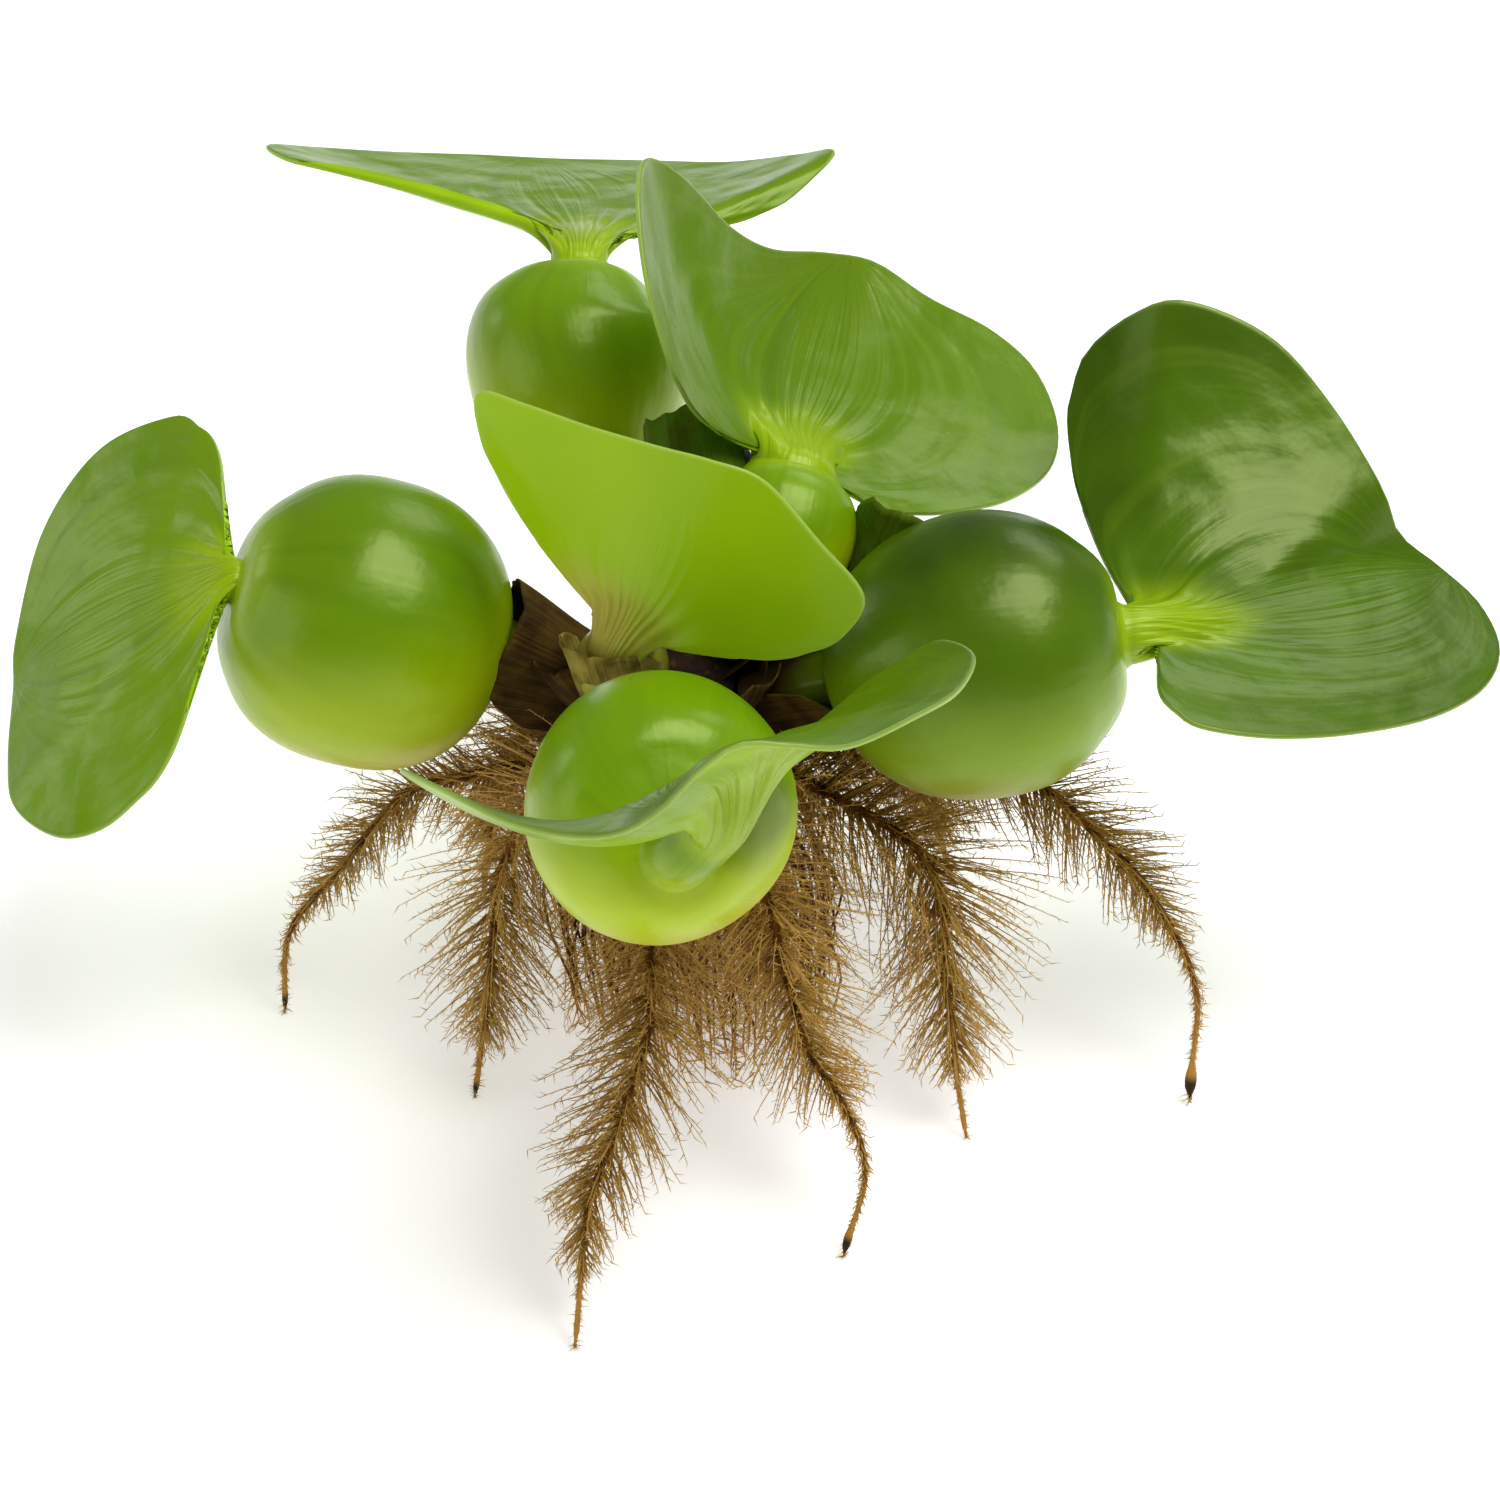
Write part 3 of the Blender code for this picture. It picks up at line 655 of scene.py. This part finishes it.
LEAVES = {
    "left": Leaf(
        path=((-12.9, 2.2, 50), (-23, 2.4, 55), (-45, 2, 61.2), (-61, 0.8, 68.2)),
        radii=(4.6, 3.0), swell=19.2, swell_at=2, lengths=(19.6, 19.2), roundness=2.3, tones=(0.4, 0.25),
        junction=(-61.5, 1, 69.3), along=(-32, 0, -22), across=(-14, -50, -30),
        margin=((-1.5, -24, 0, 0), (5, -32, 0, 0), (17.5, -34.3, 0, 0), (29, -27.5, 0, -1),
                (37, -14, -0.5, -3), (39, -7, -0.5, -4), (39.7, 6.5, -0.5, -2), (38, 17, 0, 0),
                (32, 25.5, 0, 0), (25, 28.4, 0, 0), (14, 26, 0, 0)),
    ),
    "right": Leaf(
        path=((6.8, -1, 50), (17, -4, 55.5), (36, -9, 63.2), (54.6, -9, 66.4)),
        radii=(4.6, 3.9), swell=18.6, swell_at=2, lengths=(20.0, 18.2), tones=(1.0, 0.95),
        junction=(58.5, -8, 66.5), along=(33, 22, -4), across=(-38, 68, 10),
        margin=((-9.2, -12, 0, 0), (-6.4, -17.8, -0.3, -1), (2, -22, -0.4, -2), (13.5, -24.5, -0.7, -3),
                (27, -25, -0.9, -4), (39, -22, -1, -5), (46.7, -16.3, -0.7, -4.7), (49.8, -8, 0, -3.9),
                (47.6, -1.1, 0.5, -1.8), (42.5, 2.8, 1.4, 2.4), (39.8, 5.7, 2.3, 8.8),
                (37.2, 16.2, 3.8, 15.9), (31.8, 25.2, 4, 22.2), (23.2, 33.6, 2.7, 24.4),
                (18.8, 38.4, 1.4, 19.9), (15.4, 41.3, 0.1, 12.9), (10.7, 37.8, -2.1, 4.4)),
    ),
    "back": Leaf(
        path=((-6.8, 11.8, 51), (-10.5, 25, 63.5), (-17.5, 43, 76.5), (-17.4, 52.5, 86)),
        radii=(4.4, 4.0), swell=15.1, swell_at=2, lengths=(17.0, 14.8), tones=(0.15, 0.3),
        junction=(-17, 56, 88), along=(0, 0.974, -0.225), across=(-1, 0, 0),
        margin=((8, -21.5, 0, 0), (12, -29, 0.8, 3), (18, -35, 2, 7.8), (27, -30, 1.2, 5),
                (36, -20, 0.4, 1.5), (42.5, -8, 0, 0), (43.5, 5, 0, 0), (42, 17, 0.2, 1),
                (36, 29, 1, 3), (29, 39, 2, 5.5), (20, 45, 4, 8.2), (13, 41, 4.6, 8), (11, 30, 4.3, 7)),
    ),
    "front": Leaf(
        path=((-2, -9, 50), (-3.5, -20, 54), (-5.1, -39, 60.2), (-3.6, -51, 63.2), (-1.6, -55.6, 66.5),
              (1.4, -57.3, 71)),
        radii=(4.6, 4.2), swell=16.9, swell_at=2, lengths=(18.5, 15.4), tones=(0.1, 0.8),
        # painted shade on the float, right of the neck, where the blade shades it
        painted_shade=((8.5, -48.5, 66.5), 4, 11, (58, 80, 4)),
        junction=(5.6, -58, 77.6), along=(0, -0.82, 0.57), across=(0.978, 0.12, 0.17),
        margin=((-3.9, -25.6, -2, -0.5), (-1.9, -34.6, -3.2, 5.5), (9.1, -39.1, -2.5, 10.2),
                (21.1, -34.2, -2, 7), (31.1, -25.7, -0.6, 1), (37.1, -16.9, 1.6, -2),
                (41.1, -10.4, 2.7, -0.7), (43.1, -4.5, 3.8, 3.1), (43.1, 0.4, 3.8, 4.9),
                (42.1, 5.7, 4.2, 3.6), (39.1, 12.1, 4.8, 2.1), (31.1, 20.7, 4.9, 3.9),
                (23.1, 26, 4.9, 5.7), (11.1, 29.1, 5, 9.3), (2.1, 26, 5, 11.9), (-5.9, 17.9, 4.6, 9.5)),
    ),
    "middle_front": Leaf(
        path=((-9.4, -6.4, 57.2), (-10.6, -8.1, 61), (-10.6, -9.4, 65)),
        radii=(4.8, 4.4), swell=5.6, swell_at=1, lengths=(6.0, 6.0), tones=(0.2, 0.0), gloss=0.22, relief=0.4,
        # painted shade darkening the blade towards its right side
        painted_shade=((22, -12, 70), 4, 38, (92, 128, 6)),
        junction=(-9.5, -10, 67), along=(8, -16, 41), across=(51.6, -21.7, -18.1),
        margin=((8, -22, 1.2, 5), (13.5, -27.7, 1.7, 7), (20.3, -29.8, 2, 8), (24, -23, 1.7, 7),
                (28, -14, 1.3, 5.5), (33, -4, 1, 4), (35.5, 3, 1, 4), (35.5, 10, 1.2, 5),
                (28.5, 18.7, 1.5, 6), (21.4, 26.1, 1.8, 7), (14.2, 25.4, 1.2, 5), (7, 20, 0.7, 3)),
    ),
    "middle_back": Leaf(
        path=((0.8, 3.7, 58.4), (4, 4.7, 62.5), (9.7, 7, 71.5), (11.6, 13, 77)),
        radii=(4.4, 6.2), swell=9.9, swell_at=2, lengths=(14.0, 12.0), tones=(0.05, 0.6),
        junction=(11.2, 16, 78), along=(13, 42, -2), across=(-52, 25, 35),
        margin=((1, -15, 0.2, 0.8), (7.4, -21.9, 0.8, 3), (15.8, -27.8, 1.2, 5), (26.6, -30.6, 1.5, 6),
                (35.8, -28.4, 1.7, 7), (42.4, -21.8, 2, 8), (44, -13.6, 2, 8), (41, -4, 2, 8),
                (40, 5, 2, 8), (34, 11.5, 2, 8), (24.6, 17.9, 2.2, 9), (18, 24.5, 3, 12),
                (12.5, 32.5, 4.3, 17), (6, 38, 5, 20), (-3, 36, 5, 20), (-10.5, 29, 4, 15.5),
                (-14.4, 20.5, 2.5, 10), (-13.5, 14, 1.2, 5)),
    ),
}


def stalk_rings(leaf):
    """Return the stalk's rings from the crown to the neck, with the marks of each point."""
    fine = curve_through(leaf.path, PATH_POINTS)
    travelled = np.concatenate(([0], np.cumsum(np.linalg.norm(np.diff(fine, axis=0), axis=1))))
    middle = travelled[np.argmin(np.linalg.norm(fine - np.array(leaf.path[leaf.swell_at]), axis=1))]
    to_neck = min(leaf.lengths[1], travelled[-1] - middle - NECK_SHOULDER)
    away = np.clip(np.abs(travelled - middle) / np.where(travelled < middle, leaf.lengths[0], to_neck), 0, 1)
    plain = np.interp(travelled, (0, travelled[-1]), (leaf.base_radius, leaf.neck_radius))
    radii = ((leaf.swell * (1 - away**leaf.roundness) ** (1 / leaf.roundness)) ** 4 + plain**4) ** 0.25
    directions = np.array([unit(step) for step in np.gradient(fine, axis=0)])
    change = np.concatenate(([0], np.cumsum(np.hypot(np.diff(radii), np.diff(travelled)))))
    picks = [int(np.argmin(np.abs(change - want))) for want in np.linspace(0, change[-1], STALK_RINGS)]

    side = np.array(leaf.across)
    sides = []
    for direction in directions[::-1]:
        side = unit(side - np.dot(side, direction) * direction)
        sides.append(side)
    sides = np.array(sides[::-1])
    downs = np.cross(sides, directions)
    if np.dot(downs[-1], leaf.normal) > 0:
        downs = -downs
    turns = -pi / 2 + pi * np.arange(2 * LEAF_COLUMNS) / LEAF_COLUMNS
    rings, marks = [], []
    centre = fine[np.argmax(radii)]
    narrowed = np.clip((radii - leaf.neck_radius) / (0.7 * leaf.swell - leaf.neck_radius), 0, 1)
    pushed = np.where(travelled > middle, NECK_DIMPLE * leaf.swell / 18 * np.sin(pi * narrowed), 0)
    spine = fine + pushed[:, None] * directions
    for pick in picks:
        hold = min((travelled[-1] - travelled[pick]) / 5, 1)
        ring = []
        for turn in turns:
            outward = sin(turn) * sides[pick] + cos(turn) * downs[pick]
            bulge = wavering(fine[pick] + radii[pick] * outward, UNEVENNESS_SIZE)
            uneven = 1 + hold * FLOAT_UNEVENNESS * bulge
            ring.append(spine[pick] + radii[pick] * uneven * outward)
        rings.append(ring)
        length = (travelled[pick] - travelled[-1]) / FIBRE_UNIT
        marks.append([(cos(turn), sin(turn), length) for turn in turns])
    rings = np.array(rings)
    sunk = (centre[2] - rings[:, :, 2]) / radii.max()
    near_neck = np.repeat(np.array([[travelled[pick] - travelled[-1]] for pick in picks]), len(turns), axis=1)
    return rings, np.array(marks), sunk, near_neck, directions[-1]


def part_way(row, share):
    """Return the margin row that a blade would have if it ended at this share of the way to a row."""
    along, across, halfway, edge = row
    end = share * (4 * halfway - edge) + share**2 * (2 * edge - 4 * halfway)
    return np.array((share * along, share * across, (share * (4 * halfway - edge) + end) / 4, end))


def rounded_margin(leaf):
    """Return the margin with the corner at each lobe of its base rounded off."""
    rows = [np.array(row, float) for row in leaf.margin]
    ends = []
    for corner, following in ((rows[0], rows[1]), (rows[-1], rows[-2])):
        beyond = corner + 0.4 * (following - corner)
        end = [part_way(corner, share) for share in (LOBE_START, 0.5 * (LOBE_START + LOBE_ROUND_FROM))]
        begin = part_way(corner, LOBE_ROUND_FROM)
        end += [(1 - t)**2 * begin + 2 * t * (1 - t) * corner + t**2 * beyond
                for t in (0, 0.25, 0.5, 0.75, 1)]
        ends.append(end)
    return ends[0] + rows[1:-1] + ends[1][::-1]


def blade_rings(leaf):
    """Return the blade's rings, from where it has opened out of the neck to its margin."""
    share = np.linspace(0, 1, LEAF_COLUMNS + 1)
    share = share - 0.3 * np.sin(2 * pi * share) / (2 * pi)
    row = curve_through(rounded_margin(leaf), MARGIN_POINTS)
    row = np.column_stack([np.interp(share, np.linspace(0, 1, MARGIN_POINTS), column) for column in row.T])
    outs = np.concatenate((np.linspace(NECK_SPREAD, 0.97, BLADE_RINGS), BLADE_EDGE_OUTS))
    out = outs[:, None]
    rise = 4 * row[:, 2] * out * (1 - out) + row[:, 3] * out * (2 * out - 1)
    flat = (out * row[:, 0])[:, :, None] * leaf.along + (out * row[:, 1])[:, :, None] * leaf.across
    middle = leaf.junction + flat + rise[:, :, None] * leaf.normal
    normals = np.cross(np.gradient(middle, axis=1), np.gradient(middle, axis=0))
    normals /= np.linalg.norm(normals, axis=2, keepdims=True)
    if np.mean(normals @ leaf.normal) < 0:
        normals = -normals
    to_margin = (1 - out) * np.hypot(row[:, 0], row[:, 1])
    to_first = np.linalg.norm(middle - middle[:, :1], axis=2)
    to_last = np.linalg.norm(middle - middle[:, -1:], axis=2)
    nearness = np.clip(np.minimum(to_margin, np.minimum(to_first, to_last)) / EDGE_ROUNDING, 0, 1)
    thickness = BLADE_EDGE + (BLADE_MIDDLE - BLADE_EDGE) * (1 - out) ** 1.5
    half = 0.5 * thickness * np.sqrt(1 - (1 - nearness) ** 2)
    veins = np.arctan2(VEIN_FAN * (2 * share - 1), 1 - out**VEIN_BEND)
    pleats = PLEAT_DEPTH * np.sin(PLEATS * veins) * np.exp(-((out - NECK_SPREAD) / PLEAT_REACH)) * nearness
    over = middle + normals * (half + pleats)[:, :, None]
    under = middle + normals * (pleats - half)[:, :, None]
    rings = np.concatenate((under, over[:, -2:0:-1]), axis=1)
    all_veins = np.concatenate((veins, pi - veins[:, -2:0:-1]), axis=1)
    length = out * np.hypot(row[:, 0], row[:, 1]) / FIBRE_UNIT
    length = np.concatenate((length, length[:, -2:0:-1]), axis=1)
    marks = np.stack((np.cos(all_veins), np.sin(all_veins), length), axis=2)
    edge = np.concatenate((to_margin, to_margin[:, -2:0:-1]), axis=1)
    return rings, marks, edge, outs


def leaf_skin(leaf):
    """Return the rings of the whole leaf, the number of the neck's ring, and the marks of every point."""
    stalk, stalk_marks, sunk, near_neck, direction = stalk_rings(leaf)
    blade, blade_marks, edge, outs = blade_rings(leaf)
    start = stalk[-1]
    first, second = blade[0], blade[2]
    gap = first - start
    reach = np.linalg.norm(gap, axis=1, keepdims=True)
    onward = (second - first) / np.linalg.norm(second - first, axis=1, keepdims=True)
    leave = direction * np.clip(np.sum(direction * gap, axis=1, keepdims=True), 0.25 * reach, reach)
    arrive = onward * np.clip(np.sum(onward * gap, axis=1, keepdims=True), 0.25 * reach, reach)
    spread, spread_marks = [], []
    for t in np.linspace(0, 1, SPREAD_RINGS + 2)[1:-1]:
        weights = (2 * t**3 - 3 * t**2 + 1, t**3 - 2 * t**2 + t, 3 * t**2 - 2 * t**3, t**3 - t**2)
        spread.append(weights[0] * start + weights[1] * leave + weights[2] * first + weights[3] * arrive)
        spread_marks.append((1 - t) * stalk_marks[-1] + t * blade_marks[0])
    rings = np.concatenate((stalk, spread, blade))
    marks = np.concatenate((stalk_marks, spread_marks, blade_marks))
    count = 2 * LEAF_COLUMNS
    low = np.concatenate((sunk, np.full((len(rings) - len(sunk), count), -1.0)))
    steps = np.concatenate((np.linspace(0, NECK_SPREAD, SPREAD_RINGS + 2)[1:-1], outs))
    opened = np.concatenate((near_neck / NECK_UNIT, np.repeat(steps[:, None], count, 1)))
    rim = np.concatenate((np.full((len(rings) - len(edge), count), FAR_FROM_RIM), edge))
    back = np.zeros((len(rings), count))
    back[len(stalk):, 1:LEAF_COLUMNS] = 1
    tone = np.full((len(rings), count), leaf.tones[1])
    tone[:len(stalk)] = leaf.tones[0]
    zones = np.stack((opened, low, rim), axis=2)
    faces_of = np.stack((back, tone, np.zeros_like(tone)), axis=2)
    return rings, len(stalk) - 1, {"fibre": marks, "zones": zones, "sides": faces_of}


def skin_slopes(rings):
    """Return the skin's outward direction at every point, so that its two pieces meet without a seam."""
    following = np.roll(rings, -1, axis=1)
    flat = np.cross(following[1:] - rings[:-1], rings[1:] - following[:-1])
    slopes = np.zeros_like(rings)
    for side in (flat, np.roll(flat, 1, axis=1)):
        slopes[:-1] += side
        slopes[1:] += side
    opposite = slopes[-1, :LEAF_COLUMNS:-1]
    slopes[-1, 1:LEAF_COLUMNS] += opposite
    slopes[-1, :LEAF_COLUMNS:-1] = slopes[-1, 1:LEAF_COLUMNS]
    return slopes / np.maximum(np.linalg.norm(slopes, axis=2, keepdims=True), 1e-12)


def skin_piece(name, rings, marks, normals, material, closed_edge):
    """Make a piece of a leaf's skin from its rings, closed at both ends."""
    count = rings.shape[1]
    points = [point for ring in rings for point in ring]
    held = {key: [mark for ring in values for mark in ring] for key, values in marks.items()}
    slopes = [normal for ring in normals for normal in ring]
    faces = []
    for ring in range(len(rings) - 1):
        for k in range(count):
            a, b = ring * count + k, ring * count + (k + 1) % count
            faces.append((a, b, b + count, a + count))

    def add_cap(first, turned):
        centre = len(points)
        points.append(np.mean(points[first:first + count], axis=0))
        for key in held:
            held[key].append(held[key][first])
        slopes.append(slopes[first])
        for k in range(count):
            pair = (first + k, first + (k + 1) % count)
            faces.append((*(pair[::-1] if turned else pair), centre))

    add_cap(0, True)
    last = (len(rings) - 1) * count
    if closed_edge:
        # the two faces of the blade meet in one line of points along the margin
        twin = {last + count - k: last + k for k in range(1, LEAF_COLUMNS)}
        faces = [tuple(dict.fromkeys(twin.get(corner, corner) for corner in face)) for face in faces]
        faces = [face for face in faces if len(face) > 2]
    else:
        add_cap(last, False)
    item = piece_of(name, points, faces, material)
    mesh = item.data
    for key, values in held.items():
        layer = mesh.attributes.new(key, "FLOAT_VECTOR", "POINT")
        layer.data.foreach_set("vector", np.array(values, float).ravel())
    mesh.normals_split_custom_set_from_vertices([tuple(slope) for slope in slopes])
    return item


def leaf_finish(name, gloss, relief, painted_shade):
    """Return the look of a leaf's skin, from the float's pale underside to the blade's margin, drawn pale as
    a painted highlight.
    """
    material, shader, place = finish_named(name)

    fibre, _ = place.mark("fibre")
    _, opened = place.mark("zones")
    sunk, rim = opened.beside("Y"), opened.beside("Z")
    _, under = place.mark("sides")
    tone = under.beside("Y")
    veins = fibre.vector("MULTIPLY", (1.0, 1.0, 0.06)).speckle(26, 2, 0.6)
    bands = fibre.vector("MULTIPLY", (1.0, 1.0, 0.1)).speckle(5.5, 2, 0.5)
    clouds = place.speckle(55, 2, 0.5)
    fine = place.speckle(1400, 2, 0.6)

    green = tone.colour(paint(126, 166, 8), paint(62, 94, 3))
    green = (clouds.between(0.35, 0.7) * 0.4).colour(green, paint(92, 134, 4))
    green = (veins.between(0.45, 0.75) * 0.15).colour(green, paint(134, 166, 30))
    green = (bands.between(0.5, 0.75) * 0.25).colour(green, paint(58, 92, 3))
    underside = tone.colour(paint(150, 190, 8), paint(106, 144, 12))
    underside = (clouds.between(0.35, 0.7) * 0.4).colour(underside, paint(168, 200, 14))
    blade = (under * 0.95).colour(green, underside)
    fresh = (1.0 - opened.between(0.1, 0.34)).colour(blade, paint(150, 182, 8))
    patchy = sunk + 0.4 * (clouds - 0.5)
    swollen = tone.colour(paint(120, 162, 5), paint(76, 110, 4))
    # painted shade: the float's top is drawn darker in step with its tone, standing in for the shade of the
    # blade above it
    swollen = patchy.between(-1.05, -0.6).colour(tone.colour(paint(120, 162, 5), paint(42, 68, 1)), swollen)
    swollen = (bands.between(0.35, 0.75) * 0.18).colour(swollen, paint(60, 94, 2))
    swollen = (clouds.between(0.4, 0.7) * 0.2).colour(swollen, paint(108, 146, 5))
    swollen = patchy.between(-0.6, 0.3).colour(swollen, tone.colour(paint(190, 214, 6), paint(126, 160, 8)))
    yellowed = tone.colour(paint(222, 208, 72), paint(158, 148, 60))
    swollen = (patchy.between(0.3, 0.9) * 0.9).colour(swollen, yellowed)
    swollen = opened.between(-0.06, 0.0).colour(swollen, paint(146, 180, 8))
    skin = opened.between(-0.02, 0.03).colour(swollen, fresh)
    # painted shade: the skin is drawn darker round one spot, standing in for shade that falls there
    if painted_shade:
        middle, near, far, shade = painted_shade
        from_middle = place.apart(middle) + 0.006 * (clouds - 0.5)
        skin = (0.7 * (1.0 - from_middle.between(MM * near, MM * far))).colour(skin, paint(*shade))
    # the skin is brown where it leaves the crown, darkened there as painted shade of the hollow round the
    # crown, and tan at the foot of the young front leaf
    from_crown = place.apart(CROWN_TOP) + 0.02 * (clouds - 0.5)
    skin = from_crown.between(0.015, 0.026).colour(paint(40, 28, 8), skin)
    # painted light: the tan at the young leaf's foot is drawn lighter than its own colour, where the blade
    # above shades it
    from_foot = place.apart(YOUNG_LEAF_FOOT) + 0.01 * (clouds - 0.5)
    skin = (0.9 * (1.0 - (from_foot + 0.004 * veins).between(0.005, 0.017))).colour(skin, paint(186, 170, 76))
    # painted highlight: a pale line along the blade's margin, as if its thin edge catches the light
    skin = (0.5 * (1.0 - rim.between(0.05, 0.5))).colour(skin, paint(150, 172, 90))
    place.feed(shader.inputs["Base Color"], skin)
    # painted light: the blade's underside is given a glow that stands in for the light coming through the
    # thin blade
    painted_glow = (under * opened.between(0.05, 0.3) * PAINTED_GLOW).colour(paint(0, 0, 0), skin)
    place.feed(shader.inputs["Emission Color"], painted_glow)
    shader.inputs["Emission Strength"].default_value = 1.0
    on_blade = opened.between(-0.05, 0.1)
    inner = on_blade * (1.0 - opened.between(0.6, 0.95))
    place.feed(shader.inputs["Roughness"], 0.22 + 0.1 * veins + 0.06 * fine)
    shader.inputs["Specular IOR Level"].default_value = gloss
    shader.inputs["Specular Tint"].default_value = (0.92, 1.0, 0.45, 1.0)
    dimples = place.speckle(330, 2, 0.5)
    swells = place.speckle(110, 1, 0.5)
    height = veins * (0.02 + 0.08 * inner) + bands * (0.15 + 0.8 * inner) + dimples * 0.2 + fine * 0.012
    height = relief * (height + swells * (0.3 + 1.1 * on_blade))
    waves = place.node("ShaderNodeBump", None, {"Strength": 0.6, "Distance": MM, "Height": height})
    place.feed(shader.inputs["Normal"], waves)
    return material


for name, leaf in LEAVES.items():
    skin = leaf_finish("leaf skin " + name, leaf.gloss, leaf.relief, leaf.painted_shade)
    rings, neck, marks = leaf_skin(leaf)
    slopes = skin_slopes(rings)
    lower = {key: values[:neck + 1] for key, values in marks.items()}
    upper = {key: values[neck:] for key, values in marks.items()}
    stalk = skin_piece("leaf_%s_stalk" % name, rings[:neck + 1], lower, slopes[:neck + 1], skin, False)
    blade = skin_piece("leaf_%s_blade" % name, rings[neck:], upper, slopes[neck:], skin, True)
    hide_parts(("stalk_" if name.startswith("middle") else "float_") + name)
    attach(stalk, "root")
    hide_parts("blade_" + name)
    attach(blade, "root")

# The stage is a plain white light table, with a broad soft light almost overhead and weaker ones low at the
# back and at the left.
FLOOR_SIZE = 12.0
LAMPS = {
    # place, width and height, and power
    "soft_box": (Vector((0.43, -0.13, 1.16)), 0.85, 0.85, 15.5),
    "back_box": (Vector((0.60, 1.05, 0.95)), 0.8, 0.5, 3.2),
    "left_box": (Vector((-1.20, 0.62, 0.40)), 0.3, 0.3, 0.8),
    "left_fill": (Vector((-1.30, -0.40, 0.45)), 1.0, 0.7, 3.6),
}
FLOOR_GLOW = 0.5
SURROUND_STRENGTH = 0.17
AIM = Vector((6.0, 1.0, 41.3)) * MM
CAMERA_DISTANCE = 0.62
CAMERA_RISE = 35.0
CAMERA_LENS = 111.6

corner = FLOOR_SIZE / MM / 2
floor_finish, floor_shader, _ = finish_named("white floor")
floor_shader.inputs["Base Color"].default_value = paint(236, 236, 236, 1.0)
floor_shader.inputs["Roughness"].default_value = 0.6
floor_shader.inputs["Emission Color"].default_value = (1.0, 1.0, 1.0, 1.0)
floor_shader.inputs["Emission Strength"].default_value = FLOOR_GLOW
floor_corners = [(-corner, -corner, 0), (corner, -corner, 0), (corner, corner, 0), (-corner, corner, 0)]
floor = piece_of("floor", floor_corners, [(0, 1, 2, 3)], floor_finish)

for name, (place, width, height, power) in LAMPS.items():
    lamp = bpy.data.lights.new(name, "AREA")
    lamp.shape = "RECTANGLE"
    lamp.size = width
    lamp.size_y = height
    lamp.energy = power
    lamp_item = bpy.data.objects.new(name, lamp)
    lamp_item.location = place
    lamp_item.rotation_euler = (AIM - place).to_track_quat("-Z", "Y").to_euler()
    bpy.context.scene.collection.objects.link(lamp_item)

surround = bpy.data.worlds.new("surround")
surround.use_nodes = True
surround.node_tree.nodes["Background"].inputs["Color"].default_value = (1.0, 1.0, 1.0, 1.0)
surround.node_tree.nodes["Background"].inputs["Strength"].default_value = SURROUND_STRENGTH
bpy.context.scene.world = surround
bpy.context.scene.view_settings.view_transform = "Standard"

eye = bpy.data.cameras.new("camera")
eye.sensor_width = 36.0
eye.lens = CAMERA_LENS
camera = bpy.data.objects.new("camera", eye)
camera.location = AIM + CAMERA_DISTANCE * Vector((0, -cos(radians(CAMERA_RISE)), sin(radians(CAMERA_RISE))))
camera.rotation_euler = (radians(90 - CAMERA_RISE), 0, 0)
bpy.context.scene.collection.objects.link(camera)
bpy.context.scene.camera = camera
